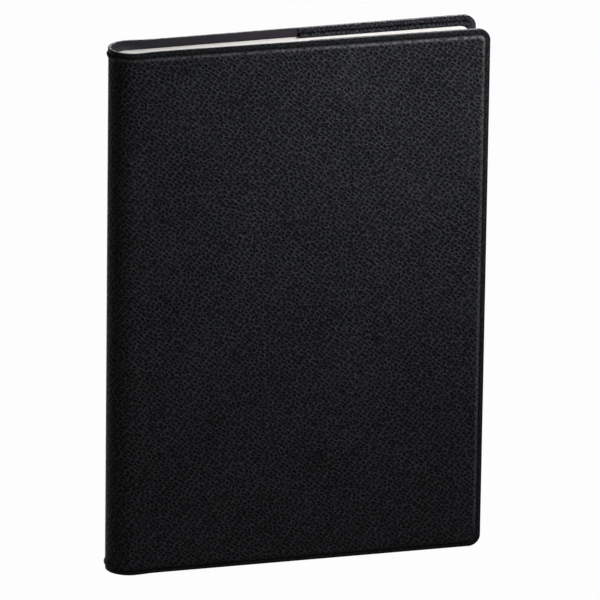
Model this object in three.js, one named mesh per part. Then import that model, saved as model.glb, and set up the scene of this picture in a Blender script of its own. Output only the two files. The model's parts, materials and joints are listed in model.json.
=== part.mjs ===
// A page-a-week planner: a sewn block of paper sections in a card cover, held by two pockets
// in a padded leatherette cover with a welded rim. It stands closed on its lower edges.
// X runs from the spine (-) to the fore edge (+), the front cover faces -Y and Z is up.
// The origin is under the middle of the closed planner. Sizes are millimetres and degrees.
import * as THREE from "three";

// Paper block
const PAGE_WIDTH = 143.5; // from the fold of a section to its fore edge
const PAGE_HEIGHT = 210;
const PAGE_CORNER = 4; // radius of the rounded page corners
const SECTIONS_PER_HALF = 6;
const SECTION_THICKNESS = 0.6; // eight thin leaves folded together
const SECTION_GAP = 0.27; // air between two sections at their folds
const FOLD_FLAT = 0.12; // small flat at the middle of each rounded fold
const SECTION_FAN = 0.7; // how far the outermost section leans out from the middle plane
const SIDE_ROOM = 0.83; // from the outermost section to the circle that the folds lie on
const FOLD_SEAT = 0.3; // from a fold to the glue behind it
const GLUE_THICKNESS = 0.4; // glue and gauze along the spine of the block

// Cover layers, from the inside out
const CARD_THICKNESS = 0.5; // the card cover that slides behind the two pockets
const LINING_THICKNESS = 0.37;
const PAD_THICKNESS = 0.78; // foam sheet
const SKIN_THICKNESS = 0.7; // grained leatherette
const LAYER_GAP = 0.05; // between two layers that lie on each other

// Cover outline and welded rim
const SQUARE = 3.5; // how far the cover stands out above and below the pages
const FORE_SQUARE = 3.45; // and in front of the outermost section's fore edge
const COVER_CORNER = 4.8;
const RIM_WIDTH = 2.7; // flat welded border, without foam
const SHOULDER = 1.2; // width of the slope from the rim up to the padding
const LEAST_RIM = 0.4; // width that the rim keeps where a corner is cut round
const PAD_EDGE_ROOM = 0.35; // from the foam's edge to the inside of the shoulder
const FRONT_SPLAY = 0.6; // lean of the closed front cover
const BACK_SPLAY = 1.15; // the back cover leans more, over the booklet in its pocket

// Pockets
const FLAP_THICKNESS = 0.7;
const FLAP_WIDTH = 73.5; // from the fore edge to the open edge of the pocket
const POCKET_EDGE_ROOM = 0.35; // from a card or booklet edge to the pocket's slope
const BOOKLET_THICKNESS = 1;
const BOOKLET_SPINE_ROOM = 6.8; // from the start of the flat board to the booklet's fold

// Hinge lines on the round spine, measured from its middle line
const HINGE_ANGLE = 45;
const SPLIT_GAP = 0.3; // between a cover and the spine strip at the hinge line

// Smoothness
const ARC_STEPS = 6;
const CORNER_STEPS = 5;
const FOLD_STEPS = 3;

// Distances from the middle plane, which are also radii round the middle of the spine
const SECTION_PITCH = SECTION_THICKNESS + SECTION_GAP;
const FOLD_RADIUS = SECTIONS_PER_HALF * SECTION_PITCH + SIDE_ROOM;
const GLUE_IN = FOLD_RADIUS + FOLD_SEAT;
const GLUE_OUT = GLUE_IN + GLUE_THICKNESS;
const CARD_IN = GLUE_OUT + LAYER_GAP;
const CARD_OUT = CARD_IN + CARD_THICKNESS;
const LINING_IN = CARD_OUT + LAYER_GAP;
const LINING_OUT = LINING_IN + LINING_THICKNESS;
const PAD_IN = LINING_OUT + LAYER_GAP;
const PAD_OUT = PAD_IN + PAD_THICKNESS;
const SKIN_IN = PAD_OUT + LAYER_GAP;
const SKIN_OUT = SKIN_IN + SKIN_THICKNESS;
const RIM_IN = PAD_IN; // in the rim the skin lies on the lining
const RIM_OUT = RIM_IN + SKIN_THICKNESS;
const FLAP_RIM_OUT = LINING_IN - LAYER_GAP;
const FRONT_WEB_OUT = CARD_IN - LAYER_GAP;
const BOOKLET_OUT = CARD_IN - LAYER_GAP;
const BOOKLET_IN = BOOKLET_OUT - BOOKLET_THICKNESS;
const BACK_WEB_OUT = BOOKLET_IN - LAYER_GAP;

// Distances along X from the middle of the spine's round, and the overall box
const foldCentreX = (y) => -Math.sqrt((FOLD_RADIUS - SECTION_THICKNESS / 2) ** 2 - y ** 2);
const OUTER_SECTION_Y = (SECTIONS_PER_HALF - 0.5) * SECTION_PITCH;
const BLOCK_EDGE = foldCentreX(OUTER_SECTION_Y) - SECTION_THICKNESS / 2 + PAGE_WIDTH;
const COVER_EDGE = BLOCK_EDGE + FORE_SQUARE;
const COVER_HEIGHT = PAGE_HEIGHT + 2 * SQUARE;
const COVER_WIDTH = SKIN_OUT + COVER_EDGE;
const SPINE_X = -COVER_WIDTH / 2 + SKIN_OUT;
const HINGE_X = SPINE_X - SKIN_OUT * Math.cos(THREE.MathUtils.degToRad(HINGE_ANGLE));
const HINGE_Y = SKIN_OUT * Math.sin(THREE.MathUtils.degToRad(HINGE_ANGLE));

// How far out a cover's padding reaches from the middle plane, at its fore edge.
function coverReach(splay) {
  const along = SPINE_X + COVER_EDGE - RIM_WIDTH - SHOULDER - HINGE_X;
  const lean = THREE.MathUtils.degToRad(splay);
  return HINGE_Y + (SKIN_OUT - HINGE_Y) * Math.cos(lean) + along * Math.sin(lean);
}

const material = (name, color, roughness) =>
  new THREE.MeshStandardMaterial({ name, color, roughness, metalness: 0 });
const leatherette = material("black leatherette", 0x232427, 0.55);
const liningFilm = material("dark grey lining", 0x3a383e, 0.7);
const foam = material("grey foam", 0x8a8a86, 0.95);
const paper = material("warm white paper", 0xf1eee6, 0.9);
const card = material("white card", 0xe6e3da, 0.85);
const glue = material("clear bookbinding glue", 0xd9cfb4, 0.5);

const radians = THREE.MathUtils.degToRad;

// A solid between two faces of a sheet. section(z) gives the points of both faces at a height,
// as many on the one as on the other, from the sheet's start to its end.
function sheet(heights, section) {
  const rings = heights.map((z) => {
    const { outer, inner } = section(z);
    return [...outer, ...inner.slice().reverse()].map(([x, y]) => [x, y, z]);
  });
  const around = rings[0].length;
  const faceCount = around / 2;
  const position = rings.flat(2);
  const at = (level, k) => level * around + (k % around);
  const index = [];
  const quad = (a, b, c, d) => index.push(a, b, c, a, c, d);
  for (let level = 0; level + 1 < rings.length; level++)
    for (let k = 0; k < around; k++)
      quad(at(level, k), at(level, k + 1), at(level + 1, k + 1), at(level + 1, k));
  const top = rings.length - 1;
  for (let k = 0; k + 1 < faceCount; k++) {
    const back = around - 1 - k;
    quad(at(0, k), at(0, back), at(0, back - 1), at(0, k + 1));
    quad(at(top, k), at(top, k + 1), at(top, back - 1), at(top, back));
  }
  if (signedVolume(position, index) < 0) index.reverse();
  const geometry = new THREE.BufferGeometry();
  geometry.setAttribute("position", new THREE.Float32BufferAttribute(position, 3));
  geometry.setIndex(index);
  const faceted = geometry.toNonIndexed();
  faceted.computeVertexNormals();
  return faceted;
}

function signedVolume(position, index) {
  const corner = (i) => new THREE.Vector3().fromArray(position, 3 * index[i]);
  let sum = 0;
  for (let i = 0; i < index.length; i += 3)
    sum += corner(i).dot(corner(i + 1).cross(corner(i + 2)));
  return sum / 6;
}

// How far a rounded corner draws the fore edge in, at a height above the plate's lower edge.
function cornerInset(z, height, radius) {
  const rise = Math.min(z, height - z);
  if (rise >= radius) return 0;
  return radius - Math.sqrt(Math.max(0, radius ** 2 - (radius - rise) ** 2));
}

// Heights that follow a corner round, from an edge up.
function cornerHeights(radius) {
  const steps = Array.from({ length: CORNER_STEPS + 1 }, (_, k) => k / CORNER_STEPS);
  return steps.map((share) => radius * (1 - Math.cos((share * Math.PI) / 2)));
}

// The given heights near the lower edge, and their mirror images near the upper edge.
function bothEnds(low, height) {
  const sorted = [...low, ...low.map((z) => height - z)].sort((a, b) => a - b);
  return sorted.filter((z, k) => k === 0 || z - sorted[k - 1] > 0.02);
}

// Points round the spine between two angles from its middle line, at a radius.
function arc(radius, from, to) {
  const points = [];
  for (let k = 0; k <= ARC_STEPS; k++) {
    const angle = radians(from + ((to - from) * k) / ARC_STEPS);
    points.push([-radius * Math.cos(angle), -radius * Math.sin(angle)]);
  }
  return points;
}

// A length along the outer skin as degrees round the spine.
const degreesOf = (length) => THREE.MathUtils.radToDeg(length / SKIN_OUT);
const HINGE_START = HINGE_ANGLE + degreesOf(SPLIT_GAP / 2);
const HINGE_END = HINGE_ANGLE - degreesOf(SPLIT_GAP / 2);

// One layer of a cover: its quarter round, then the flat board up to the fore edge.
const boardFace = (radius, stops) => [
  ...arc(radius, HINGE_START, 90),
  ...stops.map(([x, level]) => [x, -level]),
];

// How high the padding stands at a height above the cover's lower edge, from 0 to 1.
function paddingShare(z) {
  const rise = Math.min(z, COVER_HEIGHT - z) - RIM_WIDTH;
  return THREE.MathUtils.clamp(rise / SHOULDER, 0, 1);
}

const SKIN_HEIGHTS = bothEnds(
  [
    ...cornerHeights(COVER_CORNER),
    RIM_WIDTH,
    ...cornerHeights(COVER_CORNER).map((z) => RIM_WIDTH + SHOULDER + z),
  ],
  COVER_HEIGHT,
);

// Where the shoulder starts and ends at a height, in from the fore edge.
function shoulderStops(z) {
  const inside = (margin) => {
    const height = COVER_HEIGHT - 2 * margin;
    const clamped = THREE.MathUtils.clamp(z - margin, 0, height);
    return COVER_EDGE - margin - cornerInset(clamped, height, COVER_CORNER);
  };
  return { foot: inside(RIM_WIDTH), top: inside(RIM_WIDTH + SHOULDER) };
}

const coverEdgeAt = (z) => COVER_EDGE - cornerInset(z, COVER_HEIGHT, COVER_CORNER);

function skinGeometry() {
  return sheet(SKIN_HEIGHTS, (z) => {
    const share = paddingShare(z);
    const out = THREE.MathUtils.lerp(RIM_OUT, SKIN_OUT, share);
    const inn = THREE.MathUtils.lerp(RIM_IN, SKIN_IN, share);
    const { foot, top } = shoulderStops(z);
    const edge = coverEdgeAt(z);
    const start = Math.min(foot, edge - LEAST_RIM);
    return {
      outer: boardFace(out, [[top, out], [start, RIM_OUT], [edge, RIM_OUT]]),
      inner: boardFace(inn, [[top, inn], [start, RIM_IN], [edge, RIM_IN]]),
    };
  });
}

// A flat layer of a cover, drawn in from the cover's outline by a margin.
function layerGeometry(inn, out, margin, corner = COVER_CORNER) {
  const height = COVER_HEIGHT - 2 * margin;
  const heights = bothEnds(cornerHeights(corner), height);
  const geometry = sheet(heights, (z) => {
    const edge = COVER_EDGE - margin - cornerInset(z, height, corner);
    return { outer: boardFace(out, [[edge, out]]), inner: boardFace(inn, [[edge, inn]]) };
  });
  return geometry.translate(0, 0, margin);
}

// The strip of a layer round the spine, between the two hinge lines.
function spineGeometry(heights, radii, lift = 0) {
  const geometry = sheet(heights, (z) => {
    const { inn, out } = radii(z);
    return { outer: arc(out, -HINGE_END, HINGE_END), inner: arc(inn, -HINGE_END, HINGE_END) };
  });
  return geometry.translate(0, 0, lift);
}

const plainSpine = (inn, out, margin) =>
  spineGeometry([0, COVER_HEIGHT - 2 * margin], () => ({ inn, out }), margin);

// A pocket: welded to the rim on three sides, raised over what it holds, open to the spine.
function flapGeometry(webOut) {
  const depth = FLAP_RIM_OUT - webOut;
  const open = COVER_EDGE - FLAP_WIDTH;
  const heights = bothEnds([...cornerHeights(COVER_CORNER), RIM_WIDTH, RIM_WIDTH + depth], COVER_HEIGHT);
  return sheet(heights, (z) => {
    const rise = Math.min(z, COVER_HEIGHT - z) - RIM_WIDTH;
    const level = FLAP_RIM_OUT - THREE.MathUtils.clamp(rise, 0, depth);
    const edge = coverEdgeAt(z);
    const foot = Math.min(COVER_EDGE - RIM_WIDTH, edge - LEAST_RIM);
    const path = (shift) => [
      [open, -(level - shift)],
      [foot - depth, -(level - shift)],
      [foot, -(FLAP_RIM_OUT - shift)],
      [edge, -(FLAP_RIM_OUT - shift)],
    ];
    return { outer: path(0), inner: path(FLAP_THICKNESS) };
  });
}

// A board or booklet inside a pocket, with its own rounded corners.
function insertGeometry(inn, out, from, margin) {
  const height = COVER_HEIGHT - 2 * margin;
  const geometry = sheet(bothEnds(cornerHeights(PAGE_CORNER), height), (z) => {
    const edge = COVER_EDGE - margin - cornerInset(z, height, PAGE_CORNER);
    return { outer: [[from, -out], [edge, -out]], inner: [[from, -inn], [edge, -inn]] };
  });
  return geometry.translate(0, 0, margin);
}

// Folded leaves: a rounded fold at the spine and rounded corners at the fore edge.
function sectionGeometry() {
  const radius = SECTION_THICKNESS / 2;
  const flat = Math.asin(FOLD_FLAT / 2 / radius);
  const fold = [];
  for (let k = 0; k <= FOLD_STEPS; k++) {
    const angle = flat + ((Math.PI / 2 - flat) * k) / FOLD_STEPS;
    fold.push([-radius * Math.cos(angle), -radius * Math.sin(angle)]);
  }
  const mirrored = (points) => points.map(([x, y]) => [x, -y]);
  return sheet(bothEnds(cornerHeights(PAGE_CORNER), PAGE_HEIGHT), (z) => {
    const edge = PAGE_WIDTH - radius - cornerInset(z, PAGE_HEIGHT, PAGE_CORNER);
    const front = [...fold, [edge, -radius]];
    return { outer: front, inner: mirrored(front) };
  });
}

const planner = new THREE.Group();
const book = new THREE.Group(); // drawn round the middle plane of the spine
book.position.y = (coverReach(FRONT_SPLAY) - coverReach(BACK_SPLAY)) / 2;
planner.add(book);

function add(parent, name, geometry, look) {
  const mesh = new THREE.Mesh(geometry, look);
  mesh.name = name;
  parent.add(mesh);
}

// A cover's group turns about its hinge line; what is inside is drawn from the spine's middle.
function coverGroup(side, splay) {
  const hinge = new THREE.Group();
  hinge.position.set(HINGE_X, side * HINGE_Y, 0);
  hinge.rotation.z = side * radians(splay);
  const inside = new THREE.Group();
  inside.position.set(SPINE_X - HINGE_X, -side * HINGE_Y, 0);
  inside.scale.set(1, -side, 1);
  hinge.add(inside);
  book.add(hinge);
  return inside;
}

const CARD_MARGIN = RIM_WIDTH + (FLAP_RIM_OUT - FRONT_WEB_OUT) + POCKET_EDGE_ROOM;
const BOOKLET_MARGIN = RIM_WIDTH + (FLAP_RIM_OUT - BACK_WEB_OUT) + POCKET_EDGE_ROOM;
const PAD_MARGIN = RIM_WIDTH + SHOULDER + PAD_EDGE_ROOM;

function cover(name, side, splay, webOut) {
  const group = coverGroup(side, splay);
  add(group, name + "_skin", skinGeometry(), leatherette);
  add(group, name + "_pad", layerGeometry(PAD_IN, PAD_OUT, PAD_MARGIN), foam);
  add(group, name + "_lining", layerGeometry(LINING_IN, LINING_OUT, 0), liningFilm);
  add(group, name + "_card", layerGeometry(CARD_IN, CARD_OUT, CARD_MARGIN, PAGE_CORNER), card);
  add(group, name + "_flap", flapGeometry(webOut), leatherette);
  return group;
}

cover("front", -1, FRONT_SPLAY, FRONT_WEB_OUT);
const back = cover("back", 1, BACK_SPLAY, BACK_WEB_OUT);
const booklet = insertGeometry(BOOKLET_IN, BOOKLET_OUT, BOOKLET_SPINE_ROOM, BOOKLET_MARGIN);
add(back, "pocket_booklet", booklet, paper);

const spine = new THREE.Group();
spine.position.x = SPINE_X;
book.add(spine);
const skinRadii = (z) => ({
  inn: THREE.MathUtils.lerp(RIM_IN, SKIN_IN, paddingShare(z)),
  out: THREE.MathUtils.lerp(RIM_OUT, SKIN_OUT, paddingShare(z)),
});
const spineSkinHeights = bothEnds([0, RIM_WIDTH, RIM_WIDTH + SHOULDER], COVER_HEIGHT);
add(spine, "spine_skin", spineGeometry(spineSkinHeights, skinRadii), leatherette);
add(spine, "spine_pad", plainSpine(PAD_IN, PAD_OUT, PAD_MARGIN), foam);
add(spine, "spine_lining", plainSpine(LINING_IN, LINING_OUT, 0), liningFilm);
add(spine, "spine_card", plainSpine(CARD_IN, CARD_OUT, CARD_MARGIN), card);
add(spine, "spine_glue", plainSpine(GLUE_IN, GLUE_OUT, SQUARE), glue);

for (let k = 0; k < 2 * SECTIONS_PER_HALF; k++) {
  const step = k - SECTIONS_PER_HALF + 0.5;
  const y = step * SECTION_PITCH;
  const leaves = new THREE.Group();
  leaves.position.set(SPINE_X + foldCentreX(y), y, SQUARE);
  leaves.rotation.z = radians((SECTION_FAN * y) / OUTER_SECTION_Y);
  book.add(leaves);
  add(leaves, "section_" + String(k + 1).padStart(2, "0"), sectionGeometry(), paper);
}

export default planner;
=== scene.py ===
# %% [markdown]
# # A planner, standing closed
# A sewn block of leaves sits in a white card cover. The card slides behind two pockets in a
# padded leatherette cover, whose border is welded flat. The drawing of the solids is loaded as
# a fixed frame, and everything below dresses it. The frame is in metres: x runs from the spine
# to the fore edge, the front cover faces -y, and z is up.

# %% Load the frame
import json
import math
import bmesh
import bpy
from mathutils import Matrix, Vector, noise


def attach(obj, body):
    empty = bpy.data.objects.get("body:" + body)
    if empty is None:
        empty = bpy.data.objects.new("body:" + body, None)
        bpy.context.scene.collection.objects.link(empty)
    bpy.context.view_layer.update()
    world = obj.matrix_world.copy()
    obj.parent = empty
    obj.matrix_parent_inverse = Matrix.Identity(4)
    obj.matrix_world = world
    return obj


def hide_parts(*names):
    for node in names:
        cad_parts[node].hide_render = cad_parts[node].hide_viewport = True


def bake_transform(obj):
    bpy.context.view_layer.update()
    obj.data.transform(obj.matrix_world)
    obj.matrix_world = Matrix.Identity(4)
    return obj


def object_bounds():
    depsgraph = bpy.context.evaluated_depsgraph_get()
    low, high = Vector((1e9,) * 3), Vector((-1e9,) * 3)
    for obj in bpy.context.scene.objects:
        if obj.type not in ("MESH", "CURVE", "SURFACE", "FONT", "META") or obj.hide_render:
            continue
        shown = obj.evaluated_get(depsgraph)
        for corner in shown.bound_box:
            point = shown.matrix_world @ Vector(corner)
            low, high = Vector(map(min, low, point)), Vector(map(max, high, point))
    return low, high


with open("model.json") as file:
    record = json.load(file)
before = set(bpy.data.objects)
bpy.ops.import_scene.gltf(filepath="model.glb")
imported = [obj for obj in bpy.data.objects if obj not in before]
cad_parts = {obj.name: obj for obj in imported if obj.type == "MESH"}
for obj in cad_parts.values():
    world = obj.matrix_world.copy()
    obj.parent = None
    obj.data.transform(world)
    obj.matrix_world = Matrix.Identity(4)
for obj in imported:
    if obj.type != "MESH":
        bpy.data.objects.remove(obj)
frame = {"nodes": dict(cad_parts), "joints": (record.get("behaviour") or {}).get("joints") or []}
cad_box = [list(corner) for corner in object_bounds()]

# %% [markdown]
# ## Sizes
# The sizes are those of the solids, in millimetres. The height and the two hinge lines are read
# from the frame, and the middle of the spine's round and the width follow from them. Every layer
# of the cover is measured in the same way: "along" is the distance from the middle of the
# spine's round towards the fore edge, and "level" is the distance from the middle plane. Round
# the spine the level is the radius.

# %% Sizes of the cover
MM = 0.001
COVER_HEIGHT = round((cad_box[1][2] - cad_box[0][2]) / MM, 3)
COVER_CORNER = 4.8
# Each layer's inner and outer level.
LINING_IN, LINING_OUT = 7.35, 7.72
FOAM_IN, FOAM_OUT = 7.77, 8.55
RIM_IN, RIM_OUT = 7.77, 8.47
SKIN_IN, SKIN_OUT = 8.6, 9.3
CARD_IN, CARD_OUT = 6.8, 7.12
CARD_MARGIN = 3.6
FOAM_MARGIN = 4.25
HINGE_ANGLE = 45.0
hinges = {j["name"]: Vector(j["pos_m"]) / MM for j in frame["joints"]}
front_hinge, back_hinge = hinges["front_cover_hinge"], hinges["back_cover_hinge"]
HINGE_X = front_hinge.x
HINGE_Y = (back_hinge.y - front_hinge.y) / 2
BOOK_Y = (front_hinge.y + back_hinge.y) / 2
# The hinge lines lie on the spine's outer face, so its middle follows from them. The whole
# object is centred on x = 0, so the fore edge is as far from there as the outside of the spine.
SPINE_X = HINGE_X + SKIN_OUT * math.cos(math.radians(HINGE_ANGLE))
COVER_EDGE = SKIN_OUT - 2 * SPINE_X
FRONT, BACK = -1, 1
# How far each closed cover leans out.
SPLAY = {FRONT: math.radians(0.6), BACK: math.radians(1.15)}
BODY = {FRONT: "front_cover", BACK: "back_cover"}
SIDE_NAME = {FRONT: "front", BACK: "back"}
print("cover:", round(COVER_EDGE + SKIN_OUT, 1), "x", COVER_HEIGHT, "mm")

# %% [markdown]
# ## From the flat sizes to the room
# A closed cover leans out a little, about a hinge line at 45 degrees round the spine. The two
# functions here put a point of a layer in its place: the lean fades in across the hinge line,
# so that leather, lining and card run on without a step.

# %% Place a point of the cover
HINGE_FADE = 12.0


def smooth(low, high, value):
    """0 below low, 1 above high, and an easy curve between them."""
    share = min(1.0, max(0.0, (value - low) / (high - low)))
    return share * share * (3 - 2 * share)


def place(side, along, level, z, lean=1.0):
    """A point of a cover, in metres. lean is 0 on the spine and 1 on the board."""
    turn = SPLAY[side] * lean
    dx = SPINE_X + along - HINGE_X
    dy = level - HINGE_Y
    x = HINGE_X + dx * math.cos(turn) - dy * math.sin(turn)
    y = HINGE_Y + dx * math.sin(turn) + dy * math.cos(turn)
    return Vector((x, side * y + BOOK_Y, z)) * MM


def place_round(side, angle, radius, z):
    """A point of a layer on the spine's round, angle degrees from its middle line."""
    turn = math.radians(angle)
    lean = smooth(HINGE_ANGLE - HINGE_FADE, HINGE_ANGLE + HINGE_FADE, angle)
    return place(side, -radius * math.cos(turn), radius * math.sin(turn), z, lean)


print("fore edge, front:", [round(v / MM, 2) for v in place(FRONT, COVER_EDGE, RIM_OUT, 0)])

# %% [markdown]
# ## The camera
# The planner is seen from the front, turned so that the spine shows, and from a little above.
# A long lens keeps its edges nearly parallel, as a product photograph does. The place of the
# camera comes from a fit of the cover's edges, so here it is only set.

# %% Set the camera
IMAGE_SIDE = 600
FOCAL_PIXELS = 9000
SENSOR = 36.0
CAMERA_DISTANCE = 3567.35
CAMERA_YAW = math.radians(16.31)
CAMERA_PITCH = math.radians(19.0)
CAMERA_ROLL = math.radians(0.8)
CAMERA_TARGET = Vector((2.81, 0, 106.58)) * MM
CAMERA_REACH = 50

view_x = math.sin(CAMERA_YAW) * math.cos(CAMERA_PITCH)
view_y = math.cos(CAMERA_YAW) * math.cos(CAMERA_PITCH)
looking = Vector((view_x, view_y, -math.sin(CAMERA_PITCH)))
level_right = Vector((math.cos(CAMERA_YAW), -math.sin(CAMERA_YAW), 0))
level_up = level_right.cross(looking)
right = level_right * math.cos(CAMERA_ROLL) + level_up * math.sin(CAMERA_ROLL)
up = level_up * math.cos(CAMERA_ROLL) - level_right * math.sin(CAMERA_ROLL)

camera_data = bpy.data.cameras.new("camera")
camera_data.sensor_width = SENSOR
camera_data.lens = FOCAL_PIXELS / IMAGE_SIDE * SENSOR
camera_data.clip_end = CAMERA_REACH
camera = bpy.data.objects.new("camera", camera_data)
bpy.context.scene.collection.objects.link(camera)
turned = Matrix((right, up, -looking)).transposed().to_4x4()
spot = CAMERA_TARGET - looking * CAMERA_DISTANCE * MM
camera.matrix_world = Matrix.Translation(spot) @ turned
bpy.context.scene.camera = camera
print("camera at", [round(v, 3) for v in spot], "lens", round(camera_data.lens, 1), "mm")

# %% [markdown]
# ## Helpers for finishes
# A colour is written as it looks on a screen, as a hex value, and one function turns it into
# the linear numbers that a shader takes. One more function adds a node, fills its inputs with
# constants or with other nodes, and hands the node back. An input goes by its name, or by its
# number where several share a name. In a Map Range node 0 is the value, 1 and 2 are the range it
# comes from, and 3 and 4 the range it goes to. In a Mix node of colours 0 is the share, and 6 and
# 7 are the two colours. LAY is the UV map that holds a piece's flat layout. Three values are
# painted on the points of a piece: how much the grain is pressed, the shade painted into a
# crease, and the highlight painted along the shoulder.

# %% Colours and nodes
def linear(code):
    """A hex colour such as 1c1d1f as linear red, green, blue and alpha."""
    parts = [int(code[k : k + 2], 16) / 255 for k in (0, 2, 4)]
    lit = [p / 12.92 if p <= 0.04045 else ((p + 0.055) / 1.055) ** 2.4 for p in parts]
    return (*lit, 1.0)


def add_node(tree, kind, values=None, **settings):
    """A new node. values maps an input's name or number to a constant, a node or a socket."""
    made = tree.nodes.new(kind)
    for key, value in settings.items():
        setattr(made, key, value)
    for key, value in (values or {}).items():
        if isinstance(value, bpy.types.Node):
            tree.links.new(value.outputs[0], made.inputs[key])
        elif isinstance(value, bpy.types.NodeSocket):
            tree.links.new(value, made.inputs[key])
        else:
            made.inputs[key].default_value = value
    return made


def start_material(name):
    """An empty material, its node tree and its surface shader."""
    material = bpy.data.materials.new(name)
    material.use_nodes = True
    tree = material.node_tree
    tree.nodes.clear()
    shader = add_node(tree, "ShaderNodeBsdfPrincipled")
    add_node(tree, "ShaderNodeOutputMaterial", {"Surface": shader})
    return material, tree, shader


def join(tree, source, shader, socket):
    """Links a node's first output, or a socket, to one of the shader's inputs."""
    tree.links.new(getattr(source, "outputs", [source])[0], shader.inputs[socket])


LAY = "lay"
PRESS = "press"
CREASE = "crease"
SHOULDER_HIGHLIGHT = "shoulder_highlight"
print("a mid grey:", [round(v, 3) for v in linear("808080")])

# %% [markdown]
# ## Pebble-grained leatherette
# The skin is a black plastic-coated cloth. A heated roller presses a leather grain into it:
# small round pits about 1.75 mm apart, in a net of ridges. A scanned picture could give that
# grain, but nodes stay sharp at any distance and every size in them can be changed. The pattern
# lies on the piece's own flat layout, in metres, so it runs round the spine without a break and
# stays put when the cover opens. The grain has a direction: a soft noise bends its lines a
# little, and a Mapping node turns them, so that they run down towards one side.

# %% Leatherette: the grain's direction
GRAIN_LEAN = math.radians(-38)
WARP_SIZE = 4.5 * MM
WARP_REACH = 0.9 * MM


def grain_lines(tree, lay):
    """The flat layout, bent by a noise and turned to the direction of the grain."""
    bend = add_node(
        tree, "ShaderNodeTexNoise", {"Vector": lay, "Scale": 1 / WARP_SIZE, "Detail": 2.0}
    )
    centred = add_node(
        tree,
        "ShaderNodeVectorMath",
        {0: bend.outputs["Color"], 1: (0.5, 0.5, 0.5)},
        operation="SUBTRACT",
    )
    warped = add_node(
        tree,
        "ShaderNodeVectorMath",
        {0: centred, 1: (WARP_REACH, WARP_REACH, 0), 2: lay},
        operation="MULTIPLY_ADD",
    )
    return add_node(
        tree, "ShaderNodeMapping", {"Vector": warped, "Rotation": (0, 0, GRAIN_LEAN)}
    )


print("the grain's lines lean", round(math.degrees(GRAIN_LEAN)), "degrees")

# %% [markdown]
# ## Pits and crests
# One set of Voronoi cells gives two fields. The distance to a cell's middle makes the pit, and
# the distance to the border between two cells makes the crest of the ridge. Less than the full
# randomness keeps the pits near one size, and the stretch makes them a little longer along the
# grain. Where the roller pressed less, the pits are shallower, and a second noise does that.

# %% Leatherette: pits and crests
GRAIN_CELL = 1.75 * MM
POCKET_CELL = 1.3 * MM
GRAIN_STRETCH = 1.2
CELL_RANDOMNESS = 0.66
PIT_SOFTNESS = 0.2
PIT_FLOOR, PIT_BRIM = 0.12, 0.5
PIT_VARIES = 3 * MM
PIT_VARIES_FROM, PIT_VARIES_TO = 0.32, 0.62
PIT_SHALLOW = 0.8
CREST_WIDTH = 0.13


def pit_net(tree, lay, cells):
    """0 on the floor of a deep pit, 1 on the ridges round it. cells is the scaled layout."""
    pits = add_node(
        tree,
        "ShaderNodeTexVoronoi",
        {"Vector": cells, "Scale": 1.0, "Smoothness": PIT_SOFTNESS, "Randomness": CELL_RANDOMNESS},
        voronoi_dimensions="2D",
        feature="SMOOTH_F1",
    )
    hollow = add_node(
        tree,
        "ShaderNodeMapRange",
        {0: pits.outputs["Distance"], 1: PIT_FLOOR, 2: PIT_BRIM, 3: 1.0, 4: 0.0},
        interpolation_type="SMOOTHSTEP",
    )
    unlike = add_node(
        tree, "ShaderNodeTexNoise", {"Vector": lay, "Scale": 1 / PIT_VARIES, "Detail": 1.0}
    )
    depth = add_node(
        tree,
        "ShaderNodeMapRange",
        {0: unlike.outputs[0], 1: PIT_VARIES_FROM, 2: PIT_VARIES_TO, 3: PIT_SHALLOW, 4: 1.0},
    )
    sunk = add_node(tree, "ShaderNodeMath", {0: hollow, 1: depth}, operation="MULTIPLY")
    return add_node(tree, "ShaderNodeMath", {0: 1.0, 1: sunk}, operation="SUBTRACT")


def crest_lines(tree, cells):
    """1 along the border between two cells, 0 off it."""
    borders = add_node(
        tree,
        "ShaderNodeTexVoronoi",
        {"Vector": cells, "Scale": 1.0, "Randomness": CELL_RANDOMNESS},
        voronoi_dimensions="2D",
        feature="DISTANCE_TO_EDGE",
    )
    return add_node(
        tree,
        "ShaderNodeMapRange",
        {0: borders.outputs["Distance"], 1: 0.0, 2: CREST_WIDTH, 3: 1.0, 4: 0.0},
        interpolation_type="SMOOTHSTEP",
    )


print("grain cell:", round(GRAIN_CELL / MM, 2), "mm")

# %% [markdown]
# ## Wrinkles, streaks and broken crests
# Skin also has longer wrinkles, and the roller copies them. A stretched noise has long level
# lines, and a thin band round the middle one makes a wrinkle that cuts through the ridges. Short
# light streaks along the same direction are painted highlights: they stand for the gloss where a
# ridge lies flat and catches the lamp. They come in loose patches. The crests are painted lighter
# as a highlight, and no crest is evenly bright, so one more noise breaks the crests into short
# lines.

# %% Leatherette: wrinkles, streaks and breaks
WRINKLE_LENGTH = 11 * MM
WRINKLE_WIDTH = 1.9 * MM
WRINKLE_BAND = 0.035
WRINKLE_LEAVES = 0.25
STREAK_LENGTH = 2.8 * MM
STREAK_WIDTH = 0.5 * MM
STREAK_FROM, STREAK_FULL = 0.56, 0.72
STREAK_REGION = 24 * MM
STREAK_REGION_FROM, STREAK_REGION_FULL = 0.3, 0.75
STREAK_SHARE = 0.5
CREST_BREAKS = 1.5 * MM
BREAK_FROM, BREAK_TO = 0.4, 0.6
CREST_LEAST = 0.15


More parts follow.
